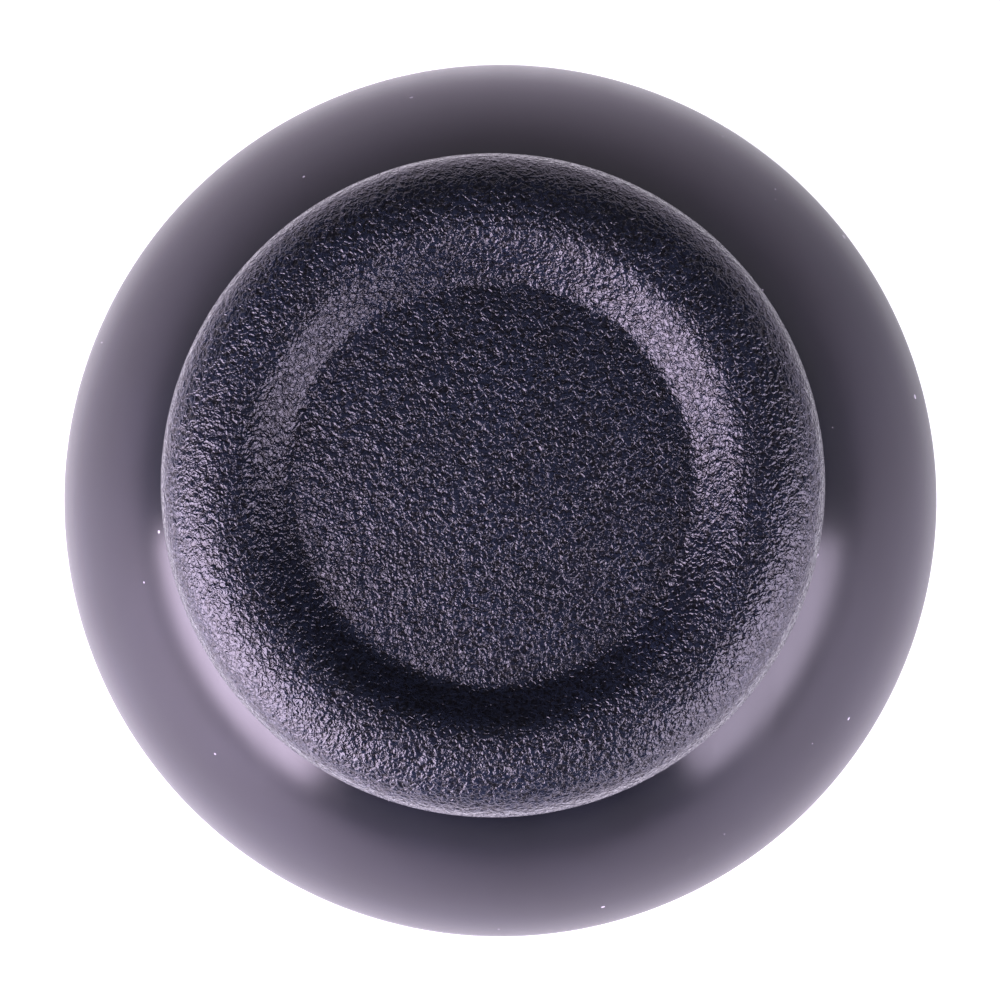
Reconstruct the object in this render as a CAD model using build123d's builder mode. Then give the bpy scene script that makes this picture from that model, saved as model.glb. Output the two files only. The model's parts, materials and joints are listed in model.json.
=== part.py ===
"""Analogue thumbstick: a soft mushroom pad on a hard dome, over a two-axis gimbal module with a push switch.

Frame: millimetres, +Z up, origin on the stick's axis in the face that sits on the circuit board.
+X is the user's right and +Y is away from the user. Heights named with _h are measured from the
pivot, the point where both tilt axes cross the stick's axis.
"""

from math import acos, asin, cos, degrees, radians, sin, sqrt
import os

from build123d import *

os.makedirs("parts", exist_ok=True)

# --- Driving dimensions -------------------------------------------------------------------
pivot_z = 6.0  # both tilt axes, above the board
running = 0.06  # radial clearance of a turning fit

# Thumb pad and dome, revolved about the stick's axis
dome_r = 13.3  # outside of the dome, a sphere about the pivot
dome_wall = 0.9
rim_h = 3.7  # lower edge of the dome
neck_r = 4.55  # waist between the dome and the mushroom head
neck_fillet = 0.9  # rounding from the waist into the sphere and into the head
head_r = 9.0  # the pad at its widest
crest_h = 17.7  # top of the pad's raised ring
crest_r = 7.0  # where the ring's top starts to round down to the side
ramp_r = 6.6  # top of the ramp from the sunk disc up to the ring
disc_r = 5.5  # edge of the sunk disc
disc_h = 16.75  # the disc at its edge
disc_rise = 0.4  # how much higher the middle of the disc is
widest_h = 15.9  # where the ring's outside turns down into the side
skirt_h = 14.1  # lower edge of the pad
core_r = 7.9  # hard core that the pad is moulded over
core_top_h = 15.6
socket_h = 8.2  # mouth of the socket that takes the lever
socket_r = 3.0

# Lever
lever_r = 1.7
lever_top_h = 12.9
lever_flats = 2.4  # across the two flats of the tip
block_r = 1.9  # thicker part around the cross pin
block_flats = 3.2
foot_h = -2.0
cross_pin_r = 0.6

# Rockers
yoke_x, yoke_y = 3.2, 2.7  # half sizes of the frame around the lever
yoke_top_h, pad_h = 1.1, -1.8  # pad_h: the flats that rest on the spring seat
arch_in, arch_out = 3.9, 4.7
arch_x = 2.8  # half width of the arch
arch_slot = 2.0  # half width of the slot that the lever slides in
arch_slot_angle = 49.0  # from the vertical to each end of that slot
tongue_w, tongue_t = 2.4, 1.2

# Sheet-metal can and moulded base
can_half = 6.7
can_top = 11.0
can_foot = 0.6
sheet = 0.4
can_hole_r = 5.1
leg_x, leg_w = 5.3, 1.2
leg_tip = -3.0
peg_r, peg_x, peg_tip = 0.7, 3.5, -1.5

# Position sensors, one on the +Y wall and one on the -X wall
sensor_r = 4.4  # half width, and radius of the round top
sensor_depth = 3.2
sensor_foot_h = 0.6 - pivot_z
cavity_r = 3.6
wafer_t = 0.8
hub_r = 1.7
terminal_pitch = 2.5
terminal_t = 0.3
rivet_h = -2.9
terminal_tip = -3.0

# Push switch on the +X wall
switch_x = 8.55
switch_half_x, switch_half_y = 1.8, 3.0
switch_split, switch_top = 1.6, 3.9
stem_x, stem_y = 2.0, 2.2
journal_r = 1.2  # the yoke's round end that rests on the plunger

# --- Working planes -----------------------------------------------------------------------
# Local x is the radius and local y the height above the pivot.
profile = Plane(origin=(0, 0, pivot_z), x_dir=(1, 0, 0), z_dir=(0, -1, 0))
profile_yz = Plane(origin=(0, 0, pivot_z), x_dir=(0, 1, 0), z_dir=(1, 0, 0))
# Local z points out of the can's wall, local y is up.
sensor_planes = {
    "x": Plane(origin=(0, can_half, pivot_z), x_dir=(-1, 0, 0), z_dir=(0, 1, 0)),
    "y": Plane(origin=(-can_half, 0, pivot_z), x_dir=(0, -1, 0), z_dir=(-1, 0, 0)),
}


def level(height):
    """The horizontal plane at a height above the pivot."""
    return Plane.XY.offset(pivot_z + height)


def write(shape, name):
    """Labels a finished piece and writes its STEP file."""
    shape.label = name
    export_step(shape, f"parts/{name}.step")


# === Stick: pad, dome and lever ===========================================================
# The pad grips a groove around the hard core.
groove_top_h, groove_foot_h, groove_r = 15.0, 14.6, 7.5
core_chamfer = 0.4

with BuildPart() as thumb_pad:
    with BuildSketch(profile) as pad_section:
        with BuildLine():
            ThreePointArc(
                (0, disc_h + disc_rise), (disc_r / 2, disc_h + 0.75 * disc_rise), (disc_r, disc_h)
            )
            Line((disc_r, disc_h), (ramp_r, crest_h))
            Line((ramp_r, crest_h), (crest_r, crest_h))
            EllipticalCenterArc((crest_r, widest_h), head_r - crest_r, crest_h - widest_h, arc_size=90)
            Polyline(
                (head_r, widest_h),
                (head_r, skirt_h),
                (core_r, skirt_h),
                (core_r, groove_foot_h),
                (groove_r, groove_foot_h),
                (groove_r, groove_top_h),
                (core_r, groove_top_h),
                (core_r, core_top_h - core_chamfer),
                (core_r - core_chamfer, core_top_h),
                (0, core_top_h),
                (0, disc_h + disc_rise),
            )
        make_face()
        for corner, radius in (((disc_r, disc_h), 0.4), ((ramp_r, crest_h), 1.0), ((head_r, skirt_h), 0.6)):
            fillet(pad_section.vertices().sort_by_distance(corner)[0], radius)
    revolve(axis=Axis.Z)

# The waist is a half-round groove that touches the sphere smoothly.
waist_x = neck_r + neck_fillet
waist_h = sqrt((dome_r + neck_fillet) ** 2 - waist_x**2)
touch = dome_r / (dome_r + neck_fillet)
neck_low_r, neck_low_h = waist_x * touch, waist_h * touch
dome_in = dome_r - dome_wall

with BuildPart() as dome_cap:
    with BuildSketch(profile):
        with BuildLine():
            Polyline(
                (0, core_top_h),
                (core_r - core_chamfer, core_top_h),
                (core_r, core_top_h - core_chamfer),
                (core_r, groove_top_h),
                (groove_r, groove_top_h),
                (groove_r, groove_foot_h),
                (core_r, groove_foot_h),
                (core_r, skirt_h),
                (waist_x, waist_h + neck_fillet),
            )
            ThreePointArc((waist_x, waist_h + neck_fillet), (neck_r, waist_h), (neck_low_r, neck_low_h))
            rim_angle = degrees(asin(rim_h / dome_r))
            CenterArc((0, 0), dome_r, rim_angle, degrees(acos(neck_low_r / dome_r)) - rim_angle)
            rim_angle_in = degrees(asin(rim_h / dome_in))
            Line(
                (dome_r * cos(radians(rim_angle)), rim_h), (dome_in * cos(radians(rim_angle_in)), rim_h)
            )
            CenterArc((0, 0), dome_in, rim_angle_in, degrees(acos(socket_r / dome_in)) - rim_angle_in)
            Polyline(
                (socket_r, sqrt(dome_in**2 - socket_r**2)),
                (socket_r, socket_h),
                (0, socket_h),
                (0, core_top_h),
            )
        make_face()
    revolve(axis=Axis.Z)
    # Two crossing gussets tie the socket to the dome's ceiling.
    gusset_x, gusset_h = 5.8, 10.25
    for plane in (profile, profile_yz):
        with BuildSketch(plane):
            with BuildLine():
                Polyline(
                    (-gusset_x, gusset_h),
                    (-gusset_x, gusset_h + 1.0),
                    (0, core_top_h - 1),
                    (gusset_x, gusset_h + 1.0),
                    (gusset_x, gusset_h),
                    (socket_r - 0.5, gusset_h - 0.5),
                    (0.5 - socket_r, gusset_h - 0.5),
                    close=True,
                )
            make_face()
        extrude(amount=0.4, both=True)
    with BuildSketch(level(socket_h)):
        Circle(lever_r + 0.02)
        Rectangle(4 * lever_r, lever_flats + 0.04, mode=Mode.INTERSECT)
    extrude(amount=lever_top_h - socket_h + 0.1, mode=Mode.SUBTRACT)
    fillet(dome_cap.edges().group_by(Axis.Z)[0], 0.3)

with BuildPart() as lever:
    with BuildSketch(profile):
        with BuildLine():
            Polyline(
                (0, foot_h),
                (1.2, foot_h),
                (1.5, foot_h + 0.3),
                (block_r, -1.2),
                (block_r, 2.0),
                (lever_r, 2.4),
                (lever_r, lever_top_h - 0.4),
                (lever_r - 0.4, lever_top_h),
                (0, lever_top_h),
                close=True,
            )
        make_face()
    revolve(axis=Axis.Z)
    for side in (-1, 1):
        with BuildSketch(level(socket_h)):
            with Locations((0, side * (lever_flats / 2 + lever_r))):
                Rectangle(4 * lever_r, 2 * lever_r)
        extrude(amount=lever_top_h - socket_h, mode=Mode.SUBTRACT)
        with BuildSketch(level(foot_h)):
            with Locations((0, side * (block_flats / 2 + lever_r))):
                Rectangle(4 * block_r, 2 * lever_r)
        extrude(amount=2.3 - foot_h, mode=Mode.SUBTRACT)
    with BuildSketch(profile):
        Circle(cross_pin_r)
    extrude(amount=block_flats, both=True, mode=Mode.SUBTRACT)

with BuildPart() as cross_pin:
    with BuildSketch(profile):
        Circle(cross_pin_r)
    extrude(amount=yoke_y - 0.05, both=True)
    chamfer(cross_pin.edges().filter_by(GeomType.CIRCLE), 0.12)

# === Rockers ==============================================================================
hub_mouth = can_half - 1.2  # inner end of each rotor's hub, from the stick's axis
tongue_end = can_half + 0.8

with BuildPart() as yoke_rocker:
    with BuildSketch(level(pad_h)):
        RectangleRounded(2 * yoke_x, 2 * yoke_y, 0.5)
        Rectangle(2 * (yoke_x - 0.8), block_flats + 0.2, mode=Mode.SUBTRACT)
    extrude(amount=yoke_top_h - pad_h)
    with BuildSketch(profile):
        Circle(cross_pin_r + 0.03)
    extrude(amount=yoke_y, both=True, mode=Mode.SUBTRACT)
    with BuildSketch(profile_yz.offset(yoke_x - 0.4)):
        Circle(journal_r)
    extrude(amount=switch_x + 1.15 - yoke_x + 0.4)
    with BuildSketch(profile_yz.offset(-yoke_x + 0.4)):
        Circle(1.5)
    extrude(amount=-(hub_mouth - 0.2 - yoke_x + 0.4))
    with BuildSketch(profile_yz.offset(0.2 - hub_mouth)):
        Rectangle(tongue_t, tongue_w)
    extrude(amount=-(tongue_end - hub_mouth + 0.2))
    fillet(yoke_rocker.edges().filter_by(Axis.X).group_by(Axis.Z)[-1], 0.4)
    chamfer(yoke_rocker.faces().sort_by(Axis.X)[-1].edges(), 0.25)

with BuildPart() as arch_rocker:
    with BuildSketch(profile_yz) as arch_side:
        Circle(arch_out)
        Circle(arch_in, mode=Mode.SUBTRACT)
        with Locations((0, -arch_out / 2)):
            Rectangle(2 * arch_out, arch_out, mode=Mode.SUBTRACT)
        with Locations(*[(s * (arch_in + arch_out) / 2, pad_h / 2) for s in (-1, 1)]):
            Rectangle(arch_out - arch_in, -pad_h)
    extrude(amount=arch_x, both=True)
    # The slot is a wedge cut out of the arch's middle.
    wedge_y = 2 * arch_out * sin(radians(arch_slot_angle))
    wedge_h = 2 * arch_out * cos(radians(arch_slot_angle))
    with BuildSketch(profile_yz):
        Polygon((0, 0), (wedge_y, wedge_h), (-wedge_y, wedge_h), align=None)
    extrude(amount=arch_slot, both=True, mode=Mode.SUBTRACT)
    with BuildSketch(profile.offset(arch_out - 0.2)):
        Circle(1.3)
    extrude(amount=can_half + 0.3 - arch_out + 0.2)
    with BuildSketch(profile.offset(0.2 - arch_out)):
        Circle(1.5)
    extrude(amount=-(hub_mouth - 0.2 - arch_out + 0.2))
    with BuildSketch(profile.offset(0.2 - hub_mouth)):
        Rectangle(tongue_t, tongue_w)
    extrude(amount=-(tongue_end - hub_mouth + 0.2))
    chamfer(arch_rocker.faces().sort_by(Axis.Y)[0].edges(), 0.25)

# === Centring: seat and coil spring =======================================================
base_top = 1.0
seat_r, seat_hole_r = 5.5, 2.5
seat_web_h = pad_h - 0.7
wire_r = 0.18
coil_r = 4.2
coil_turns = 3

with BuildPart() as spring_seat:
    with BuildSketch(profile):
        with BuildLine():
            Polyline(
                (seat_hole_r, pad_h),
                (seat_r, pad_h),
                (seat_r, pad_h - 1.9),
                (seat_r - 0.6, pad_h - 1.9),
                (seat_r - 0.6, seat_web_h),
                (seat_hole_r + 0.8, seat_web_h),
                (seat_hole_r + 0.8, seat_web_h - 0.6),
                (seat_hole_r, seat_web_h - 0.6),
                close=True,
            )
        make_face()
    revolve(axis=Axis.Z)

with BuildPart() as return_spring:
    coil_foot = base_top + wire_r + 0.02
    coil_height = pivot_z + seat_web_h - wire_r - 0.02 - coil_foot
    with BuildLine(Plane.XY.offset(coil_foot)) as coil:
        Helix(pitch=coil_height / coil_turns, height=coil_height, radius=coil_r)
    with BuildSketch(Plane(origin=coil.line @ 0, z_dir=coil.line % 0)):
        Circle(wire_r)
    sweep(path=coil.line)

# === Can and base =========================================================================
with BuildPart() as can:
    with BuildSketch(Plane.XY.offset(can_foot)):
        RectangleRounded(2 * can_half, 2 * can_half, 0.7)
    extrude(amount=can_top - can_foot)
    fillet(can.faces().sort_by(Axis.Z)[-1].edges(), 0.6)
    offset(amount=-sheet, openings=can.faces().sort_by(Axis.Z)[0])
    with BuildSketch(Plane.XY.offset(can_top)):
        Circle(can_hole_r)
    extrude(amount=-2 * sheet, mode=Mode.SUBTRACT)
    # Slits where the four folded walls meet
    with BuildSketch(Plane.XY.offset(can_foot)):
        with PolarLocations(can_half * sqrt(2), 4, start_angle=45):
            Rectangle(2.4, 0.25)
    extrude(amount=can_top - can_foot - 1.4, mode=Mode.SUBTRACT)
    # Rotor hubs, the arch's bearing, and the slot that lets the yoke's journal sink
    for plane in sensor_planes.values():
        with BuildSketch(plane):
            Circle(hub_r + 0.4)
            with Locations((3.3, 1.6), (-3.3, 1.6), (3.5, -4.3), (-3.5, -4.3)):
                Circle(0.45)
        extrude(amount=-2 * sheet, mode=Mode.SUBTRACT)
    with BuildSketch(profile.offset(can_half)):
        Circle(1.3 + running)
    extrude(amount=-2 * sheet, mode=Mode.SUBTRACT)
    with BuildSketch(profile_yz.offset(can_half)):
        with Locations((0, -0.3)):
            SlotCenterToCenter(0.7, 2.6, rotation=90)
        with Locations((2.3, -2.8), (-2.3, -2.8)):
            Circle(0.42)
    extrude(amount=-2 * sheet, mode=Mode.SUBTRACT)
    # Solder legs on the Y walls, crimp tabs folded under the base on the X walls
    wall_y = can_half - sheet / 2
    with BuildSketch(Plane.XY.offset(leg_tip)):
        with GridLocations(2 * leg_x, 2 * wall_y, 2, 2):
            Rectangle(leg_w, sheet)
    extrude(amount=can_foot - leg_tip + 0.5)
    with BuildSketch(Plane.XY.offset(0.05)):
        with GridLocations(2 * wall_y, 2 * leg_x, 2, 2):
            Rectangle(sheet, 1.0)
    extrude(amount=can_foot + 0.4)
    with BuildSketch(Plane.XY.offset(0.05)):
        with GridLocations(2 * (can_half - 0.7), 2 * leg_x, 2, 2):
            Rectangle(1.4, 1.0)
    extrude(amount=sheet)

with BuildPart() as base:
    with BuildSketch():
        Rectangle(2 * can_half, 2 * can_half)
        with GridLocations(2 * leg_x, 2 * can_half, 2, 2):
            Rectangle(leg_w + 0.1, 2 * sheet + 0.1, mode=Mode.SUBTRACT)
        with GridLocations(2 * can_half, 2 * leg_x, 2, 2):
            Rectangle(2 * sheet + 0.1, 1.1, mode=Mode.SUBTRACT)
    extrude(amount=can_foot)
    with BuildSketch(Plane.XY.offset(can_foot)):
        RectangleRounded(2 * (can_half - sheet - 0.05), 2 * (can_half - sheet - 0.05), 0.5)
    extrude(amount=base_top - can_foot)
    with BuildSketch():
        with GridLocations(2 * (can_half - 0.75), 2 * leg_x, 2, 2):
            Rectangle(1.5, 1.1)
    extrude(amount=0.5, mode=Mode.SUBTRACT)
    with BuildSketch(Plane.XY.offset(base_top)):
        Circle(seat_r + 0.6)
        Circle(seat_r + 0.1, mode=Mode.SUBTRACT)
    extrude(amount=1.8)
    with BuildSketch():
        with GridLocations(2 * peg_x, 1, 2, 1):
            Circle(peg_r)
    extrude(amount=peg_tip)
    chamfer(base.faces().sort_by(Axis.Z)[:2].edges(), 0.25)

# === Position sensors =====================================================================
wafer_u = sensor_depth - wafer_t  # inner face of the wafer, out from the can's wall
rotor_u = 0.9  # inner face of the rotor's disc
disc_t = 0.9
brush_t = 0.15
pin_spots = [(n * terminal_pitch, rivet_h) for n in (-1, 0, 1)]


def sensor_outline(inset):
    """The sensor's round-topped outline, inset by so much, in the sketch being built."""
    radius = sensor_r - inset
    foot = sensor_foot_h + inset
    Circle(radius)
    with Locations((0, foot / 2)):
        Rectangle(2 * radius, -foot)


sensors = {}
for axis_name, wall in sensor_planes.items():
    with BuildPart() as sensor_case:
        with BuildSketch(wall):
            sensor_outline(0)
        extrude(amount=sensor_depth)
        with BuildSketch(wall.offset(wafer_u)):
            sensor_outline(0.5)
        extrude(amount=wafer_t, mode=Mode.SUBTRACT)
        with BuildSketch(wall.offset(0.8)):
            Circle(cavity_r)
        extrude(amount=sensor_depth, mode=Mode.SUBTRACT)
        with BuildSketch(wall):
            Circle(hub_r + running)
        extrude(amount=sensor_depth, mode=Mode.SUBTRACT)
        with BuildSketch(wall.offset(wafer_u)):
            with Locations(*pin_spots):
                Circle(0.8)
        extrude(amount=-0.4, mode=Mode.SUBTRACT)
        with BuildSketch(wall):
            with Locations((3.3, 1.6), (-3.3, 1.6), (3.5, -4.3), (-3.5, -4.3)):
                Circle(0.43)
        extrude(amount=-sheet)

    with BuildPart() as wafer:
        with BuildSketch(wall.offset(wafer_u)):
            sensor_outline(0.55)
            Circle(0.66, mode=Mode.SUBTRACT)
            with Locations(*pin_spots):
                Circle(0.4, mode=Mode.SUBTRACT)
        extrude(amount=wafer_t)

    with BuildPart() as rotor:
        with BuildSketch(wall.offset(-1.2)):
            Circle(hub_r)
        extrude(amount=1.2 + rotor_u)
        with BuildSketch(wall.offset(rotor_u)):
            Circle(cavity_r - 0.3)
        extrude(amount=disc_t)
        with BuildSketch(wall.offset(rotor_u + disc_t)):
            Circle(0.6)
        extrude(amount=sensor_depth - 0.1 - rotor_u - disc_t)
        with BuildSketch(wall.offset(-1.2)):
            Rectangle(tongue_t + 0.1, tongue_w + 0.2)
        extrude(amount=2.15, mode=Mode.SUBTRACT)

    # A stamped washer with two sprung fingers that reach out to the wafer's tracks
    with BuildPart() as brush:
        with BuildSketch(wall.offset(rotor_u + disc_t)):
            Circle(2.95)
            Circle(0.75, mode=Mode.SUBTRACT)
        extrude(amount=brush_t)
        finger_u = rotor_u + disc_t + brush_t / 2
        for track_r in (1.3, 2.35):
            finger_plane = Plane(
                origin=wall.from_local_coords((0, track_r, 0)), x_dir=wall.x_dir, z_dir=wall.y_dir
            )
            # Local y of this plane runs into the wall, so heights are negative.
            with BuildSketch(finger_plane):
                with BuildLine():
                    Polyline(
                        (-1.2, -finger_u),
                        (1.1, -(wafer_u - 0.13)),
                        (1.1, -(wafer_u - 0.01)),
                        (-1.2, -(finger_u + 0.12)),
                        close=True,
                    )
                make_face()
            extrude(amount=0.25, both=True)

    with BuildPart() as rivets:
        with BuildSketch(wall.offset(wafer_u - 0.15)):
            with Locations(*pin_spots):
                Circle(0.65)
        extrude(amount=0.15)
        with BuildSketch(wall.offset(wafer_u)):
            with Locations(*pin_spots):
                Circle(0.4)
        extrude(amount=wafer_t + terminal_t)
        with BuildSketch(wall.offset(sensor_depth + terminal_t)):
            with Locations(*pin_spots):
                Circle(0.65)
        extrude(amount=0.15)
        with BuildSketch(wall.offset(wafer_u - 0.15)):
            with Locations(*pin_spots):
                Circle(0.22)
        extrude(amount=2 * sensor_depth, mode=Mode.SUBTRACT)

    with BuildPart() as terminals:
        tail = pivot_z + rivet_h - terminal_tip
        with BuildSketch(wall.offset(sensor_depth)):
            with Locations(*pin_spots):
                Circle(0.85)
            with Locations(*[(x, y - tail / 2) for x, y in pin_spots]):
                Rectangle(0.8, tail)
            with Locations(*pin_spots):
                Circle(0.4, mode=Mode.SUBTRACT)
        extrude(amount=terminal_t)
        chamfer(terminals.faces().group_by(Axis.Z)[0].edges().filter_by(Axis.Z, reverse=True), 0.08)

    sensors[axis_name] = {
        "sensor_case": sensor_case.part,
        "sensor_wafer": wafer.part,
        "sensor_rotor": rotor.part,
        "sensor_brush": brush.part,
        "sensor_rivets": rivets.part,
        "sensor_terminals": terminals.part,
    }

# === Push switch ==========================================================================
switch_floor = 1.0  # where the snap dome sits
snap_r, snap_rise, snap_t = 1.45, 0.6, 0.12
snap_ball_r = (snap_r**2 + snap_rise**2) / (2 * snap_rise)
pin_x, pin_y = 1.3, 2.3
switch_axis = Plane(origin=(switch_x, 0, switch_floor), x_dir=(1, 0, 0), z_dir=(0, -1, 0))
switch_turn = Axis((switch_x, 0, 0), (0, 0, 1))

with BuildPart() as switch_terminals:
    with BuildSketch(Plane.XY.offset(terminal_tip)):
        with Locations((switch_x, 0)):
            with GridLocations(2 * pin_x, 2 * pin_y, 2, 2):
                Rectangle(0.3, 0.7)
    extrude(amount=switch_floor - terminal_tip)
    # Contact strips under the snap dome: one under its crown, one under its edge
    with BuildSketch(Plane.XY.offset(switch_floor - 0.2)):
        with Locations((switch_x - pin_x / 2, pin_y - 0.15)):
            Rectangle(pin_x, 0.4)
        with Locations((switch_x, pin_y / 2 - 0.1)):
            Rectangle(0.4, pin_y)
        with Locations((switch_x + 1.25, -pin_y / 2 - 0.35)):
            Rectangle(0.4, pin_y - 0.7)
    extrude(amount=0.2)

with BuildPart() as switch_base:
    with BuildSketch(Plane.XY.offset(0.1)):
        with Locations((switch_x, 0)):
            Rectangle(2 * switch_half_x, 2 * switch_half_y)
    extrude(amount=switch_split - 0.1)
    with BuildSketch(Plane.XY.offset(switch_floor)):
        with Locations((switch_x, 0)):
            Circle(snap_r + 0.1)
    extrude(amount=switch_split, mode=Mode.SUBTRACT)
    add(switch_terminals.part, mode=Mode.SUBTRACT)

with BuildPart() as snap_dome:
    with BuildSketch(switch_axis):
        with BuildLine():
            snap_centre = snap_rise - snap_ball_r
            half_angle = degrees(asin(snap_r / snap_ball_r))
            CenterArc((0, snap_centre), snap_ball_r, 90 - half_angle, half_angle)
            Line((0, snap_rise), (0, snap_rise + snap_t))
            CenterArc((0, snap_centre), snap_ball_r + snap_t, 90 - half_angle, half_angle)
            Line(
                (snap_r, 0),
                (
                    (snap_ball_r + snap_t) * sin(radians(half_angle)),
                    snap_centre + (snap_ball_r + snap_t) * cos(radians(half_angle)),
                ),
            )
        make_face()
    revolve(axis=switch_turn)

nub_foot = switch_floor + snap_rise + snap_t + 0.02
flange_foot = 2.1
with BuildPart() as switch_plunger:
    with BuildSketch(Plane.XY.offset(nub_foot)):
        with Locations((switch_x, 0)):
            Circle(0.5)
    extrude(amount=flange_foot - nub_foot)
    with BuildSketch(Plane.XY.offset(flange_foot)):
        with Locations((switch_x, 0)):
            Rectangle(stem_x + 0.6, stem_y + 0.8)
    extrude(amount=0.5)
    with BuildSketch(Plane.XY.offset(flange_foot + 0.5)):
        with Locations((switch_x, 0)):
            RectangleRounded(stem_x, stem_y, 0.2)
    extrude(amount=pivot_z - journal_r - flange_foot - 0.5)

with BuildPart() as switch_cover:
    with BuildSketch(Plane.XY.offset(switch_split)):
        with Locations((switch_x, 0)):
            Rectangle(2 * switch_half_x, 2 * switch_half_y)
    extrude(amount=switch_top - switch_split)
    chamfer(switch_cover.faces().sort_by(Axis.Z)[-1].edges(), 0.25)
    with BuildSketch(Plane.XY.offset(switch_split)):
        with Locations((switch_x, 0)):
            Rectangle(stem_x + 0.9, stem_y + 1.1)
    extrude(amount=flange_foot + 0.55 - switch_split, mode=Mode.SUBTRACT)
    with BuildSketch(Plane.XY.offset(switch_split)):
        with Locations((switch_x, 0)):
            RectangleRounded(stem_x + 0.34, stem_y + 0.2, 0.2)
    extrude(amount=switch_top, mode=Mode.SUBTRACT)
    with BuildSketch(Plane.YZ.offset(switch_x - switch_half_x)):
        with Locations((2.3, pivot_z - 2.8), (-2.3, pivot_z - 2.8)):
            Circle(0.4)
    extrude(amount=can_half - sheet - switch_x + switch_half_x)

# === Files ================================================================================
write(thumb_pad.part, "thumb_pad")
write(dome_cap.part, "dome_cap")
write(lever.part, "lever")
write(cross_pin.part, "cross_pin")
write(yoke_rocker.part, "yoke_rocker")
write(arch_rocker.part, "arch_rocker")
write(spring_seat.part, "spring_seat")
write(return_spring.part, "return_spring")
write(can.part, "can")
write(base.part, "base")
for axis_name, pieces in sensors.items():
    for piece_name, piece in pieces.items():
        write(piece, f"{piece_name}_{axis_name}")
write(switch_base.part, "switch_base")
write(switch_cover.part, "switch_cover")
write(switch_plunger.part, "switch_plunger")
write(snap_dome.part, "snap_dome")
write(switch_terminals.part, "switch_terminals")
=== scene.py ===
import json
import math

import bmesh
import bpy
from bpy.props import FloatProperty, FloatVectorProperty, IntProperty, PointerProperty
from mathutils import Matrix, Vector


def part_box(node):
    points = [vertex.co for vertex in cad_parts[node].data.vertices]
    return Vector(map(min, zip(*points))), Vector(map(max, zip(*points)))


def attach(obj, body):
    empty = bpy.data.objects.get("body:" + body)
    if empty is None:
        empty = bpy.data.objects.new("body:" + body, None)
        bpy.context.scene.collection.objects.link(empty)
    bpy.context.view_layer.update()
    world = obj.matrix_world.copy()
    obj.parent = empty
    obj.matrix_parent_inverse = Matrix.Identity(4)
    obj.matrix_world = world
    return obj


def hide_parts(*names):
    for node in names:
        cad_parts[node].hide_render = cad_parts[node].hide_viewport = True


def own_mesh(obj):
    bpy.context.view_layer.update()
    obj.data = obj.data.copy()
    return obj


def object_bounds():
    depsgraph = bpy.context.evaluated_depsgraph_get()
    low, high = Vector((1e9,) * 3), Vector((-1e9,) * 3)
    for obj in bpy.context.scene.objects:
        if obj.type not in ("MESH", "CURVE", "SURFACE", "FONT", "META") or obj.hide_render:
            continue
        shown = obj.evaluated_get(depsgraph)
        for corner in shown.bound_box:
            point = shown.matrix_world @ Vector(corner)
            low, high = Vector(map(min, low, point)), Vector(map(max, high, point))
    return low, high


bl_info = {
    "name": "Analogue Thumbstick",
    "version": (1, 0, 0),
    "blender": (4, 5, 0),
    "location": "View3D > Sidebar > Thumbstick",
    "description": "Builds the looks of an analogue thumbstick around its packed CAD model",
    "category": "Add Mesh",
}

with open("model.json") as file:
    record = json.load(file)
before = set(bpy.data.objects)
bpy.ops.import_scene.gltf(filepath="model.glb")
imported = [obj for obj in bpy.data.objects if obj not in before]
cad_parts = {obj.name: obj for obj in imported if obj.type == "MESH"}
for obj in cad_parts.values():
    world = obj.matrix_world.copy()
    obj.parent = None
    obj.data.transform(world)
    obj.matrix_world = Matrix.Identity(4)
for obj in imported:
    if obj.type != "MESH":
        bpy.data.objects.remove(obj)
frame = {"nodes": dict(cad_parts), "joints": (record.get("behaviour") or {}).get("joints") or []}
cad_low, cad_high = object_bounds()
MM = 0.001
PIVOT = next(Vector(joint["pos_m"]) for joint in frame["joints"] if joint["name"] == "tilt_x")
PAD_LOW, PAD_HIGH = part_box("thumb_pad")
DOME_LOW, DOME_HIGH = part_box("dome_cap")


# --- Colours, nodes and materials -----------------------------------------------------------
def linear(hex_colour):
    """Turns an sRGB hex colour such as "#1c1a20" into a linear RGBA value."""
    channels = [int(hex_colour[i : i + 2], 16) / 255 for i in (1, 3, 5)]
    return (*[c / 12.92 if c <= 0.04045 else ((c + 0.055) / 1.055) ** 2.4 for c in channels], 1.0)


def add_node(tree, kind, settings, inputs):
    """Adds a node. Each input is a value to set or another node's socket to link."""
    made = tree.nodes.new(kind)
    for name, value in settings.items():
        setattr(made, name, value)
    for name, value in inputs.items():
        if isinstance(value, bpy.types.NodeSocket):
            tree.links.new(value, made.inputs[name])
        else:
            made.inputs[name].default_value = value
    return made


def start_material(name):
    """Returns a new material, its empty node tree and the object coordinates in it."""
    material = bpy.data.materials.new(name)
    material.use_nodes = True
    tree = material.node_tree
    tree.nodes.clear()
    place = add_node(tree, "ShaderNodeTexCoord", {}, {}).outputs["Object"]
    return material, tree, place


def finish_material(tree, shader):
    """Links the shader to the material's output."""
    add_node(tree, "ShaderNodeOutputMaterial", {}, {"Surface": shader.outputs["BSDF"]})


def blend_tones(tree, share, first, second):
    """The colour between two tones that a socket from 0 to 1 gives."""
    mixed = add_node(tree, "ShaderNodeMix", {"data_type": "RGBA"}, {0: share, 6: first, 7: second})
    return mixed.outputs[2]


def spread(tree, socket, low, high, to_low, to_high):
    """The socket's values from low to high, moved to another range."""
    names = ("From Min", "From Max", "To Min", "To Max")
    ends = dict(zip(names, (low, high, to_low, to_high)))
    return add_node(tree, "ShaderNodeMapRange", {}, {"Value": socket, **ends}).outputs["Result"]


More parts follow.
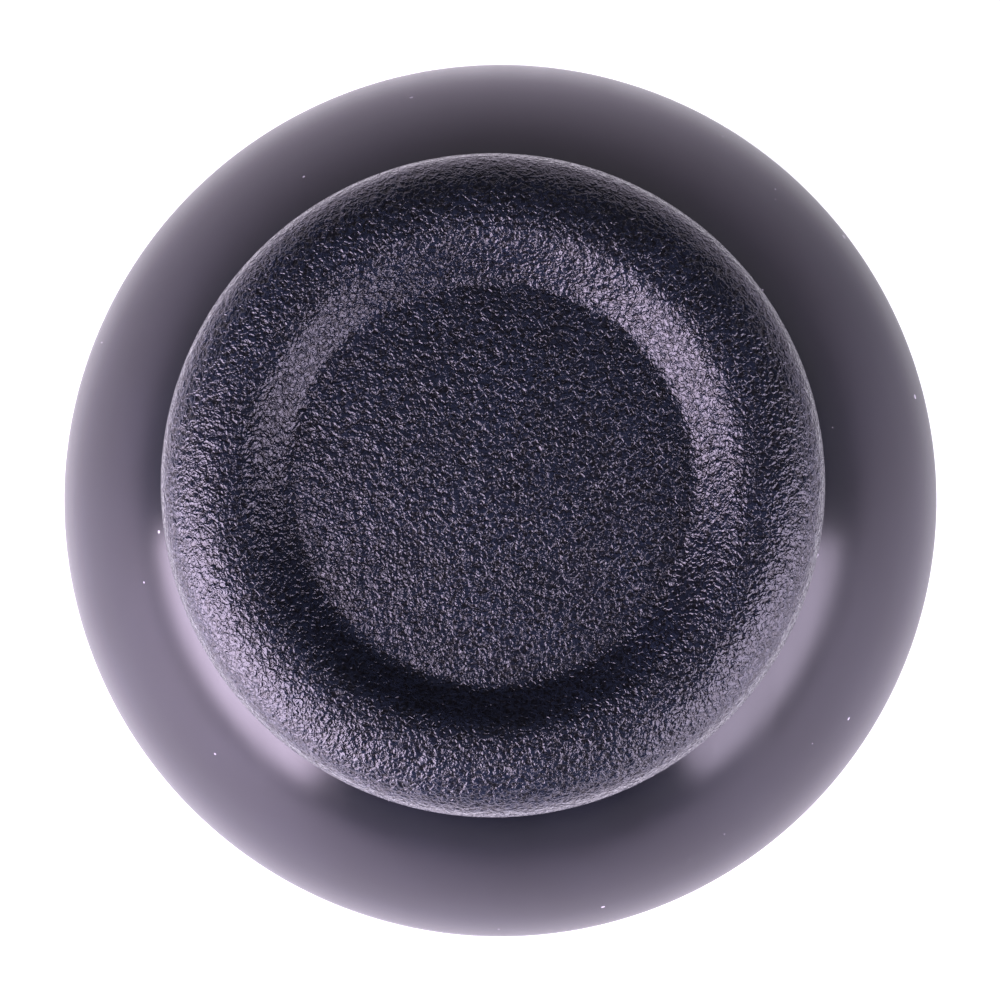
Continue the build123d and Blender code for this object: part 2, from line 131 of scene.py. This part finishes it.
def worked_surface(name, tones, roughness, patch, grain, depth, metallic=0.0, stretch=(1, 1, 1)):
    """A material whose tone drifts over patches and whose gloss and height follow a finer grain.

    patch, grain and depth are sizes in metres. stretch lengthens the grain along an axis.
    """
    material, tree, place = start_material(name)
    drift = add_node(
        tree, "ShaderNodeTexNoise", {}, {"Vector": place, "Scale": 1 / patch, "Detail": 3.0}
    )
    share = spread(tree, drift.outputs["Fac"], 0.3, 0.7, 0.0, 1.0)
    drawn = add_node(
        tree, "ShaderNodeMapping", {}, {"Vector": place, "Scale": [1 / length for length in stretch]}
    )
    fine = add_node(
        tree,
        "ShaderNodeTexNoise",
        {},
        {"Vector": drawn.outputs["Vector"], "Scale": 1 / grain, "Detail": 4.0, "Roughness": 0.6},
    )
    bump = add_node(tree, "ShaderNodeBump", {}, {"Height": fine.outputs["Fac"], "Distance": depth})
    shader = add_node(
        tree,
        "ShaderNodeBsdfPrincipled",
        {},
        {
            "Base Color": blend_tones(tree, share, linear(tones[0]), linear(tones[1])),
            "Roughness": spread(tree, fine.outputs["Fac"], 0.3, 0.7, *roughness),
            "Metallic": metallic,
            "Normal": bump.outputs["Normal"],
        },
    )
    finish_material(tree, shader)
    return material


def pebbled_rubber(settings):
    """Soft black thermoplastic elastomer, moulded against a finely etched tool.

    The short, worm-like grain breaks the light into flecks, and the matt skin pales at its edges.
    Shade is painted into the grain's pits, whose tone runs down to a near-black.
    """
    material, tree, place = start_material("etched_tpe")
    worms = add_node(
        tree,
        "ShaderNodeTexNoise",
        {},
        {
            "Vector": place,
            "Scale": 2.4 / settings.grain_spacing,
            "Detail": 1.0,
            "Roughness": 0.5,
            "Distortion": 0.7,
        },
    )
    pebbles = add_node(
        tree,
        "ShaderNodeTexVoronoi",
        {"feature": "SMOOTH_F1"},
        {"Vector": place, "Scale": 1 / settings.grain_spacing, "Smoothness": 0.3},
    )
    height = add_node(
        tree,
        "ShaderNodeMath",
        {"operation": "MULTIPLY_ADD"},
        {0: pebbles.outputs["Distance"], 1: -0.5, 2: worms.outputs["Fac"]},
    )
    bump = add_node(
        tree,
        "ShaderNodeBump",
        {},
        {"Height": height.outputs["Value"], "Distance": settings.grain_depth},
    )
    drift = add_node(
        tree, "ShaderNodeTexNoise", {}, {"Vector": place, "Scale": 1 / (1.5 * MM), "Detail": 4.0}
    )
    share = spread(tree, drift.outputs["Fac"], 0.35, 0.65, 0.0, 1.0)
    ridges = blend_tones(tree, share, settings.colour, settings.worn_colour)
    # Painted shade: where the grain sinks into pits, its tone is darkened towards the pit tone as
    # shade would fall there. The ridges keep the rubber's own drifting tone.
    unshaded_ridge_share = spread(tree, worms.outputs["Fac"], 0.36, 0.58, 0.0, 1.0)
    shader = add_node(
        tree,
        "ShaderNodeBsdfPrincipled",
        {},
        {
            "Base Color": blend_tones(tree, unshaded_ridge_share, settings.pit_shade_colour, ridges),
            "Roughness": spread(tree, worms.outputs["Fac"], 0.38, 0.6, 0.28, 0.1),
            "IOR": 1.5,
            "Specular Tint": linear("#f6efff"),
            "Sheen Weight": settings.bloom,
            "Sheen Roughness": 0.35,
            "Sheen Tint": linear("#efe8ff"),
            "Normal": bump.outputs["Normal"],
        },
    )
    finish_material(tree, shader)
    return material


def satin_dome(settings):
    """Black ABS, moulded in a polished tool and wiped and rubbed a little by use.

    It mirrors the surroundings softly. Wiping left faint streaks along Y, and dust sits on it.
    """
    material, tree, place = start_material("satin_abs")
    peel = add_node(
        tree, "ShaderNodeTexNoise", {}, {"Vector": place, "Scale": 1 / (0.9 * MM), "Detail": 2.0}
    )
    drawn = add_node(
        tree, "ShaderNodeMapping", {}, {"Vector": place, "Scale": (1.0, 1 / 18, 1 / 14)}
    )
    streaks = add_node(
        tree,
        "ShaderNodeTexNoise",
        {},
        {
            "Vector": drawn.outputs["Vector"],
            "Scale": 1 / (0.9 * MM),
            "Detail": 3.0,
            "Roughness": 0.55,
            "Distortion": 0.2,
        },
    )
    bump = add_node(
        tree, "ShaderNodeBump", {}, {"Height": peel.outputs["Fac"], "Distance": 0.0015 * MM}
    )
    drift = add_node(
        tree, "ShaderNodeTexNoise", {}, {"Vector": place, "Scale": 1 / (3 * MM), "Detail": 3.0}
    )
    share = spread(tree, drift.outputs["Fac"], 0.35, 0.65, 0.0, 1.0)
    rubbed = blend_tones(tree, share, settings.colour, settings.rubbed_colour)
    # Dust: at most one speck of up to 0.07 mm in each cell of 0.5 mm, and most cells have none.
    cells = add_node(
        tree, "ShaderNodeTexVoronoi", {}, {"Vector": place, "Scale": 1 / (0.5 * MM)}
    )
    lot = add_node(tree, "ShaderNodeSeparateColor", {}, {"Color": cells.outputs["Color"]})
    reach = spread(tree, lot.outputs["Red"], 0.88, 1.0, 0.0, 0.14)
    speck = add_node(
        tree,
        "ShaderNodeMath",
        {"operation": "LESS_THAN"},
        {0: cells.outputs["Distance"], 1: reach},
    )
    shader = add_node(
        tree,
        "ShaderNodeBsdfPrincipled",
        {},
        {
            "Base Color": blend_tones(tree, speck.outputs["Value"], rubbed, linear("#a8a2ae")),
            "Roughness": spread(
                tree, streaks.outputs["Fac"], 0.3, 0.7, settings.gloss - 0.01, settings.gloss + 0.03
            ),
            "IOR": 1.48,
            "Specular Tint": linear("#f9f1ff"),
            "Normal": bump.outputs["Normal"],
        },
    )
    finish_material(tree, shader)
    return material


# --- Mesh helpers ---------------------------------------------------------------------------
def sweep(radius, centre, first, last, steps):
    """Points on an arc in the XZ plane, from a vertex spun round its centre, in degrees."""
    bm = bmesh.new()
    begin = math.radians(first)
    start = bm.verts.new(
        (centre[0] + radius * math.cos(begin), 0, centre[1] + radius * math.sin(begin))
    )
    bmesh.ops.spin(
        bm,
        geom=[start],
        cent=(centre[0], 0, centre[1]),
        axis=(0, -1, 0),
        angle=math.radians(last - first),
        steps=steps,
    )
    points = [(vertex.co.x, vertex.co.z) for vertex in bm.verts]
    bm.free()
    return points


def join_points(bm, points):
    """Joins points in the XZ plane, in millimetres, with edges, and returns their vertices."""
    vertices = [bm.verts.new((x, 0, z)) for x, z in points]
    for first, second in zip(vertices, vertices[1:]):
        bm.edges.new((first, second))
    return vertices


def round_corner(bm, vertex, size, segments):
    """Rounds one corner of a profile."""
    bmesh.ops.bevel(
        bm,
        geom=[vertex],
        offset=size,
        segments=segments,
        profile=0.5,
        affect="VERTICES",
        material=-1,
    )


def spin_round(bm, steps):
    """Turns a profile in the XZ plane right round the Z axis and closes its seam and poles."""
    bmesh.ops.spin(
        bm,
        geom=list(bm.verts) + list(bm.edges),
        cent=(0, 0, 0),
        axis=(0, 0, 1),
        angle=2 * math.pi,
        steps=steps,
        use_merge=True,
    )
    bmesh.ops.remove_doubles(bm, verts=list(bm.verts), dist=1e-4)
    bmesh.ops.recalc_face_normals(bm, faces=list(bm.faces))


def place_piece(bm, name, material, body, nodes, origin=PIVOT):
    """Makes the finished object: in metres, standing on its origin, riding on its body."""
    bmesh.ops.scale(bm, verts=list(bm.verts), vec=(MM, MM, MM))
    bmesh.ops.translate(bm, verts=list(bm.verts), vec=origin)
    mesh = bpy.data.meshes.new(name)
    bm.to_mesh(mesh)
    bm.free()
    mesh.materials.append(material)
    mesh.polygons.foreach_set("use_smooth", [True] * len(mesh.polygons))
    mesh.set_sharp_from_angle(angle=math.radians(38))
    piece = bpy.data.objects.new(name, mesh)
    bpy.context.scene.collection.objects.link(piece)
    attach(piece, body)
    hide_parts(*nodes)
    return piece


def dress(node_names, material):
    """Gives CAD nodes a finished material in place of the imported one."""
    for name in node_names:
        mesh = frame["nodes"][name].data
        if not mesh.materials:
            mesh.materials.append(material)
        for index in range(len(mesh.materials)):
            mesh.materials[index] = material


# --- Settings -------------------------------------------------------------------------------
class PadSettings(bpy.types.PropertyGroup):
    colour: FloatVectorProperty(
        name="Colour",
        description="Tone of the pad's rubber",
        subtype="COLOR",
        size=4,
        default=linear("#141823"),
    )
    worn_colour: FloatVectorProperty(
        name="Worn Colour",
        description="Tone where thumbs have rubbed the rubber",
        subtype="COLOR",
        size=4,
        default=linear("#181d2b"),
    )
    # Painted shade: the near-black tone painted into the grain's pits, where shade falls.
    pit_shade_colour: FloatVectorProperty(
        name="Pit Shade Colour",
        description="Tone in the pits of the grain",
        subtype="COLOR",
        size=4,
        default=linear("#05060a"),
    )
    grain_spacing: FloatProperty(
        name="Grain Spacing",
        description="Distance between the grain's ridges",
        unit="LENGTH",
        precision=5,
        default=0.28 * MM,
    )
    grain_depth: FloatProperty(
        name="Grain Depth",
        description="Height of the grain's ridges",
        unit="LENGTH",
        precision=6,
        default=0.07 * MM,
    )
    bloom: FloatProperty(
        name="Bloom",
        description="How much the matt skin pales where it is seen edge on",
        subtype="FACTOR",
        default=0.05,
    )
    rounds: IntProperty(
        name="Steps",
        description="Steps round the pad",
        default=512,
    )


class DomeSettings(bpy.types.PropertyGroup):
    colour: FloatVectorProperty(
        name="Colour",
        description="Tone of the dome's plastic",
        subtype="COLOR",
        size=4,
        default=linear("#0d0e16"),
    )
    rubbed_colour: FloatVectorProperty(
        name="Rubbed Colour",
        description="Tone where the dome has rubbed on the shell round it",
        subtype="COLOR",
        size=4,
        default=linear("#13141d"),
    )
    gloss: FloatProperty(
        name="Roughness",
        description="Mean roughness of the dome's polish",
        subtype="FACTOR",
        default=0.21,
    )


class StageSettings(bpy.types.PropertyGroup):
    distance: FloatProperty(
        name="Camera Distance",
        description="From the middle of the dome's rim to the camera",
        unit="LENGTH",
        default=0.175,
    )
    lean: FloatProperty(
        name="Camera Lean",
        description="Angle between the stick's axis and the line to the camera",
        subtype="ANGLE",
        default=math.radians(2.17),
    )
    width: FloatProperty(
        name="Width In View",
        description="Width that the camera sees at the dome's rim",
        unit="LENGTH",
        default=29.1 * MM,
    )
    floor_colour: FloatVectorProperty(
        name="Floor Colour",
        description="Tone of the floor",
        subtype="COLOR",
        size=4,
        default=linear("#dddce0"),
    )


# --- Pieces ---------------------------------------------------------------------------------
class THUMBSTICK_OT_pad(bpy.types.Operator):
    """Adds the grained pad with its raised ring and sunk disc"""

    bl_idname = "thumbstick.pad"
    bl_label = "Add Thumb Pad"

    def execute(self, context):
        settings = context.scene.thumbstick_pad
        half = (PAD_HIGH.x - PAD_LOW.x) / 2 / MM
        top = (PAD_HIGH.z - PIVOT.z) / MM
        foot = (PAD_LOW.z - PIVOT.z) / MM
        core_radius = half - 1.1
        core_top = foot + 1.5
        ramp_radius, disc_radius = 6.6, 5.5
        disc_edge, disc_rise = top - 0.95, 0.4
        # The disc bulges gently: its radius follows from how much its middle rises.
        bulge = (disc_radius**2 + disc_rise**2) / (2 * disc_rise)
        lean = math.degrees(math.asin(disc_radius / bulge))
        disc = sweep(bulge, (0, disc_edge + disc_rise - bulge), 90 - lean, 90, 16)
        bm = bmesh.new()
        vertices = join_points(
            bm,
            [
                (0, core_top),
                (core_radius, core_top),
                (core_radius, foot),
                (half, foot),
                (half, top),
                (ramp_radius, top),
                *disc,
            ],
        )
        # The corners by their place in the profile: the skirt's foot, the ring's outside, the top
        # of the ramp and the edge of the disc.
        foot_corner, ring_corner, ramp_corner, disc_corner = vertices[3:7]
        round_corner(bm, foot_corner, 0.6, 8)
        round_corner(bm, ring_corner, 1.9, 28)
        round_corner(bm, ramp_corner, 0.36, 12)
        round_corner(bm, disc_corner, 0.18, 8)
        # Long edges are cut into rows of faces of about this height.
        row = 0.15
        for edge in list(bm.edges):
            cuts = int(edge.calc_length() / row)
            if cuts:
                bmesh.ops.subdivide_edges(bm, edges=[edge], cuts=cuts)
        spin_round(bm, settings.rounds)
        place_piece(
            bm, "pad_skin", pebbled_rubber(settings), "stick", ["thumb_pad"]
        )
        return {"FINISHED"}


class THUMBSTICK_OT_dome(bpy.types.Operator):
    """Adds the hard dome with its waist, its socket and the gussets inside"""

    bl_idname = "thumbstick.dome"
    bl_label = "Add Dome"

    def execute(self, context):
        settings = context.scene.thumbstick_dome
        outer, wall = 13.3, 0.9
        inner = outer - wall
        rim = (DOME_LOW.z - PIVOT.z) / MM
        foot = (PAD_LOW.z - PIVOT.z) / MM
        core_radius = (PAD_HIGH.x - PAD_LOW.x) / 2 / MM - 1.1
        core_top = foot + 1.5
        socket, socket_mouth, bore = 3.0, 8.2, 1.72
        bore_top = core_top - 2.6
        # The waist is a half-round groove that touches the sphere smoothly.
        waist_radius = 0.9
        neck_radius = 4.55
        waist_x = neck_radius + waist_radius
        waist_z = math.sqrt((outer + waist_radius) ** 2 - waist_x**2)
        neck_angle = math.degrees(math.atan2(waist_z, waist_x))
        # Next to the rim the last step of both spheres is longer, to leave room for its rounding.
        rim_step = 2.4
        rim_lift = math.degrees(math.asin(rim / outer))
        inner_lift = math.degrees(math.asin(rim / inner))
        inner_end = math.degrees(math.acos(socket / inner))
        waist = sweep(waist_radius, (waist_x, waist_z), 90, 180 + neck_angle, 28)
        shell = sweep(outer, (0, 0), neck_angle, rim_lift + rim_step, 60)[1:]
        rim_out, rim_in = (
            (radius * math.cos(math.radians(lift)), rim)
            for radius, lift in ((outer, rim_lift), (inner, inner_lift))
        )
        ceiling = sweep(inner, (0, 0), inner_lift + rim_step, inner_end, 60)
        bm = bmesh.new()
        vertices = join_points(
            bm,
            [
                (0, core_top),
                (core_radius, core_top),
                (core_radius, foot),
                *waist,
                *shell,
                rim_out,
                rim_in,
                *ceiling,
                (socket, socket_mouth),
                (bore, socket_mouth),
                (bore, bore_top),
                (0, bore_top),
            ],
        )
        points_before_waist = 3
        rim_corner = points_before_waist + len(waist) + len(shell)
        round_corner(bm, vertices[rim_corner], 0.38, 8)
        round_corner(bm, vertices[rim_corner + 1], 0.23, 6)
        spin_round(bm, 384)
        # Four gussets tie the socket to the ceiling: each starts as a cube and gets these corners.
        corners = {
            (False, False): (2.6, 9.75),
            (False, True): (2.6, 13.1),
            (True, False): (5.8, 10.25),
            (True, True): (5.8, 11.25),
        }
        gusset_thickness = 0.8
        for quarter in range(4):
            cube = bmesh.ops.create_cube(bm, size=1.0)["verts"]
            for vertex in cube:
                x, z = corners[vertex.co.x > 0, vertex.co.z > 0]
                vertex.co = (x, gusset_thickness * vertex.co.y, z)
            turn = Matrix.Rotation(quarter * math.pi / 2, 3, "Z")
            bmesh.ops.rotate(bm, verts=cube, cent=(0, 0, 0), matrix=turn)
        place_piece(bm, "dome_shell", satin_dome(settings), "stick", ["dome_cap"])
        return {"FINISHED"}


class THUMBSTICK_OT_gimbal(bpy.types.Operator):
    """Finishes the lever, the rockers, the pin, the seat and the spring"""

    bl_idname = "thumbstick.gimbal"
    bl_label = "Finish Gimbal"

    def execute(self, context):
        # Acetal, moulded and left its natural milky white: waxy, with flow marks.
        acetal = worked_surface(
            "natural_acetal",
            ("#d9d5c6", "#cbc6b4"),
            (0.34, 0.5),
            patch=2.5 * MM,
            grain=0.12 * MM,
            depth=0.004 * MM,
        )
        dress(["lever", "arch_rocker", "sensor_rotor_x", "sensor_rotor_y"], acetal)
        # Nylon with glass fibre, moulded: dull black, with greyish mottle where fibres surface.
        nylon = worked_surface(
            "glass_filled_nylon",
            ("#1a1a1b", "#29292a"),
            (0.42, 0.62),
            patch=0.6 * MM,
            grain=0.08 * MM,
            depth=0.006 * MM,
        )
        names = ["yoke_rocker", "spring_seat", "base", "switch_base", "switch_cover"]
        dress(names, nylon)
        # Steel pin, centreless ground: fine marks round the pin.
        ground = worked_surface(
            "ground_steel",
            ("#9a9a9c", "#aeaeb0"),
            (0.18, 0.3),
            patch=0.8 * MM,
            grain=0.05 * MM,
            depth=0.0008 * MM,
            metallic=1.0,
        )
        dress(["cross_pin"], ground)
        # Music wire, drawn: dark, slightly oily steel.
        wire = worked_surface(
            "drawn_spring_steel",
            ("#7d7b78", "#94918c"),
            (0.22, 0.38),
            patch=0.7 * MM,
            grain=0.06 * MM,
            depth=0.001 * MM,
            metallic=1.0,
        )
        dress(["return_spring"], wire)
        return {"FINISHED"}


class THUMBSTICK_OT_housing(bpy.types.Operator):
    """Finishes the sheet-metal can"""

    bl_idname = "thumbstick.housing"
    bl_label = "Finish Can"

    def execute(self, context):
        # Cold-rolled steel, nickel plated: soft shine, with rolling marks along X.
        plated = worked_surface(
            "nickel_plated_sheet",
            ("#b7b3ab", "#c6c3bc"),
            (0.2, 0.36),
            patch=3.5 * MM,
            grain=0.06 * MM,
            depth=0.0012 * MM,
            metallic=1.0,
            stretch=(14, 1, 1),
        )
        dress(["can"], plated)
        return {"FINISHED"}


class THUMBSTICK_OT_sensors(bpy.types.Operator):
    """Finishes both position sensors"""

    bl_idname = "thumbstick.sensors"
    bl_label = "Finish Sensors"

    def execute(self, context):
        # Polyester, moulded in green: even colour, satin, with faint flow clouds.
        case = worked_surface(
            "green_pbt",
            ("#1f7a4d", "#1a6f45"),
            (0.32, 0.46),
            patch=2.2 * MM,
            grain=0.1 * MM,
            depth=0.004 * MM,
        )
        dress(["sensor_case_x", "sensor_case_y"], case)
        # Paper laminate with phenolic resin, punched: warm brown, with paper fibres in it.
        laminate = worked_surface(
            "phenolic_laminate",
            ("#7a4a26", "#8d5a30"),
            (0.3, 0.44),
            patch=0.5 * MM,
            grain=0.07 * MM,
            depth=0.003 * MM,
            stretch=(1, 1, 4),
        )
        dress(["sensor_wafer_x", "sensor_wafer_y"], laminate)
        # Phosphor bronze strip, stamped.
        bronze = worked_surface(
            "phosphor_bronze",
            ("#b98450", "#c79560"),
            (0.22, 0.36),
            patch=0.8 * MM,
            grain=0.05 * MM,
            depth=0.001 * MM,
            metallic=1.0,
        )
        dress(["sensor_brush_x", "sensor_brush_y"], bronze)
        # Brass strip, stamped and tinned: pale grey, with a slightly uneven dip coat.
        tinned = worked_surface(
            "tinned_brass",
            ("#c3c1ba", "#d2d0ca"),
            (0.2, 0.4),
            patch=0.7 * MM,
            grain=0.12 * MM,
            depth=0.003 * MM,
            metallic=1.0,
        )
        names = [f"sensor_{kind}_{axis}" for kind in ("rivets", "terminals") for axis in "xy"]
        dress([*names, "switch_terminals"], tinned)
        return {"FINISHED"}


class THUMBSTICK_OT_switch(bpy.types.Operator):
    """Adds the click dome, in its unpressed shape, and finishes the plunger"""

    bl_idname = "thumbstick.switch"
    bl_label = "Add Click Dome"

    def execute(self, context):
        # Nylon, moulded in reddish brown.
        plunger = worked_surface(
            "brown_nylon",
            ("#7a3d22", "#86462a"),
            (0.36, 0.52),
            patch=0.9 * MM,
            grain=0.08 * MM,
            depth=0.004 * MM,
        )
        dress(["switch_plunger"], plunger)
        # Stainless strip, rolled thin and pressed into a cap of a sphere.
        strip = worked_surface(
            "pressed_stainless",
            ("#a9a8a6", "#b8b7b4"),
            (0.16, 0.28),
            patch=0.6 * MM,
            grain=0.05 * MM,
            depth=0.0006 * MM,
            metallic=1.0,
            stretch=(8, 1, 1),
        )
        low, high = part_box("snap_dome")
        foot = Vector(((low.x + high.x) / 2, (low.y + high.y) / 2, low.z))
        radius, rise, thickness = 1.45, 0.6, 0.12
        ball = (radius**2 + rise**2) / (2 * rise)
        edge = 90 - math.degrees(math.asin(radius / ball))
        hollow = sweep(ball, (0, rise - ball), 90, edge, 24)
        crown = sweep(ball + thickness, (0, rise - ball), edge, 90, 24)
        bm = bmesh.new()
        join_points(bm, [*hollow, *crown])
        spin_round(bm, 96)
        click_dome = place_piece(
            bm, "click_dome", strip, "housing", ["snap_dome"], foot
        )
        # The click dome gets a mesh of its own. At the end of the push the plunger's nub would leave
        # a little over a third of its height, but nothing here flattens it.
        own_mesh(click_dome)
        return {"FINISHED"}


class THUMBSTICK_OT_stage(bpy.types.Operator):
    """Adds the floor, the soft lights and the camera"""

    bl_idname = "thumbstick.stage"
    bl_label = "Add Stage"

    def execute(self, context):
        scene = context.scene
        settings = scene.thumbstick_stage
        floor_mesh = bpy.data.meshes.new("floor")
        bm = bmesh.new()
        bmesh.ops.create_grid(bm, x_segments=1, y_segments=1, size=6.0)
        bmesh.ops.translate(bm, verts=list(bm.verts), vec=(0, 0, cad_low.z))
        bm.to_mesh(floor_mesh)
        bm.free()
        floor = bpy.data.objects.new("floor", floor_mesh)
        scene.collection.objects.link(floor)
        # Matt card, almost white, with a hair of mottle. It glows as painted light in a disc under
        # the part, which washes out the part's shadow, and again far off beyond the lamps.
        material, tree, place = start_material("white_card_painted_glow")
        mottle = add_node(
            tree, "ShaderNodeTexNoise", {}, {"Vector": place, "Scale": 1 / (2 * MM), "Detail": 3.0}
        )
        share = spread(tree, mottle.outputs["Fac"], 0.3, 0.7, 0.0, 0.2)
        reach = add_node(tree, "ShaderNodeVectorMath", {"operation": "LENGTH"}, {0: place})
        # Painted light: the floor emits 0.68 out to 21 mm from the middle, fading out by 27 mm, and
        # glows again from 9 cm out, rising to 0.5 by 20 cm.
        near = spread(tree, reach.outputs["Value"], 0.021, 0.027, 0.68, 0.0)
        far = spread(tree, reach.outputs["Value"], 0.09, 0.20, 0.0, 0.5)
        glow = add_node(tree, "ShaderNodeMath", {"operation": "MAXIMUM"}, {0: near, 1: far})
        shader = add_node(
            tree,
            "ShaderNodeBsdfPrincipled",
            {},
            {
                "Base Color": blend_tones(tree, share, settings.floor_colour, linear("#d5d3d9")),
                "Roughness": 0.9,
                "Emission Color": linear("#ffffff"),
                "Emission Strength": glow.outputs["Value"],
            },
        )
        finish_material(tree, shader)
        floor_mesh.materials.append(material)

        # Soft boxes stand close by at both sides, a little in front and just clear of the floor, and
        # the left one is the key. A third one looks down from higher up on the key's side.
        # Each has its bearing, distance, height of its middle, width, length, radiance and tint.
        boxes = (
            ("soft_box_left", 210, 0.085, 0.056, 0.080, 0.095, 14.5, "#f9ebff"),
            ("soft_box_right", -30, 0.085, 0.056, 0.075, 0.095, 8.0, "#f5ebff"),
            ("soft_box_high", 205, 0.130, 0.220, 0.110, 0.110, 6.0, "#f5ebff"),
        )
        for name, bearing, away, rise, width, length, radiance, tint in boxes:
            light = bpy.data.lights.new(name, "AREA")
            light.shape = "RECTANGLE"
            light.size = width
            light.size_y = length
            light.energy = radiance * math.pi * width * length
            light.color = linear(tint)[:3]
            lamp = bpy.data.objects.new(name, light)
            turn = math.radians(bearing)
            lamp.location = (away * math.cos(turn), away * math.sin(turn), cad_low.z + rise)
            # The two low boxes stand upright, and the high one faces the pad.
            aim_height = lamp.location.z if rise < away else PAD_HIGH.z
            toward = Vector((0, 0, aim_height)) - lamp.location
            lamp.rotation_mode = "QUATERNION"
            lamp.rotation_quaternion = toward.to_track_quat("-Z", "Y")
            lamp.visible_camera = False
            scene.collection.objects.link(lamp)

        world = bpy.data.worlds.new("studio")
        world.use_nodes = True
        world.node_tree.nodes.clear()
        # The studio is dim near the horizon and brightest overhead.
        sky = world.node_tree
        looking = add_node(sky, "ShaderNodeTexCoord", {}, {}).outputs["Generated"]
        parts = add_node(sky, "ShaderNodeSeparateXYZ", {}, {"Vector": looking})
        strength = spread(sky, parts.outputs["Z"], 0.1, 1.0, 0.05, 0.18)
        backdrop = add_node(
            sky, "ShaderNodeBackground", {}, {"Color": linear("#e9e4f2"), "Strength": strength}
        )
        add_node(sky, "ShaderNodeOutputWorld", {}, {"Surface": backdrop.outputs["Background"]})
        scene.world = world
        scene.view_settings.view_transform = "Standard"
        scene.view_settings.look = "None"

        camera_data = bpy.data.cameras.new("camera")
        camera_data.sensor_width = 36.0
        camera_data.lens = camera_data.sensor_width * settings.distance / settings.width
        camera_data.clip_start = 0.01
        camera = bpy.data.objects.new("camera", camera_data)
        aim = Vector((PIVOT.x, PIVOT.y, DOME_LOW.z))
        side = math.sin(settings.lean) * settings.distance
        # The camera leans mostly towards the front, and a little to the right.
        away = Vector((0.43 * side, -0.9 * side, math.cos(settings.lean) * settings.distance))
        back = away.normalized()
        right = Vector((0, 1, 0)).cross(back).normalized()
        turn = Matrix((right, back.cross(right), back)).transposed()
        camera.matrix_world = Matrix.LocRotScale(aim + away, turn, None)
        scene.collection.objects.link(camera)
        scene.camera = camera
        return {"FINISHED"}


class THUMBSTICK_PT_panel(bpy.types.Panel):
    """Lists the thumbstick's settings and pieces"""

    bl_idname = "THUMBSTICK_PT_panel"
    bl_label = "Thumbstick"
    bl_space_type = "VIEW_3D"
    bl_region_type = "UI"
    bl_category = "Thumbstick"

    def draw(self, context):
        for group in GROUPS:
            settings = getattr(context.scene, group)
            box = self.layout.box()
            for name in type(settings).__annotations__:
                box.prop(settings, name)
        for operator in OPERATORS:
            self.layout.operator(operator.bl_idname)


GROUPS = {
    "thumbstick_pad": PadSettings,
    "thumbstick_dome": DomeSettings,
    "thumbstick_stage": StageSettings,
}
OPERATORS = (
    THUMBSTICK_OT_pad,
    THUMBSTICK_OT_dome,
    THUMBSTICK_OT_gimbal,
    THUMBSTICK_OT_housing,
    THUMBSTICK_OT_sensors,
    THUMBSTICK_OT_switch,
    THUMBSTICK_OT_stage,
)


def register():
    """Registers the classes and hangs the settings on the scene."""
    for kind in (*GROUPS.values(), *OPERATORS, THUMBSTICK_PT_panel):
        bpy.utils.register_class(kind)
    for name, kind in GROUPS.items():
        setattr(bpy.types.Scene, name, PointerProperty(type=kind))


def unregister():
    """Takes the settings and the classes away again."""
    for name in GROUPS:
        delattr(bpy.types.Scene, name)
    for kind in reversed((*GROUPS.values(), *OPERATORS, THUMBSTICK_PT_panel)):
        bpy.utils.unregister_class(kind)


def main():
    """Builds the whole thumbstick."""
    register()
    for operator in OPERATORS:
        family, name = operator.bl_idname.split(".")
        getattr(getattr(bpy.ops, family), name)()


if __name__ == "__main__":
    main()
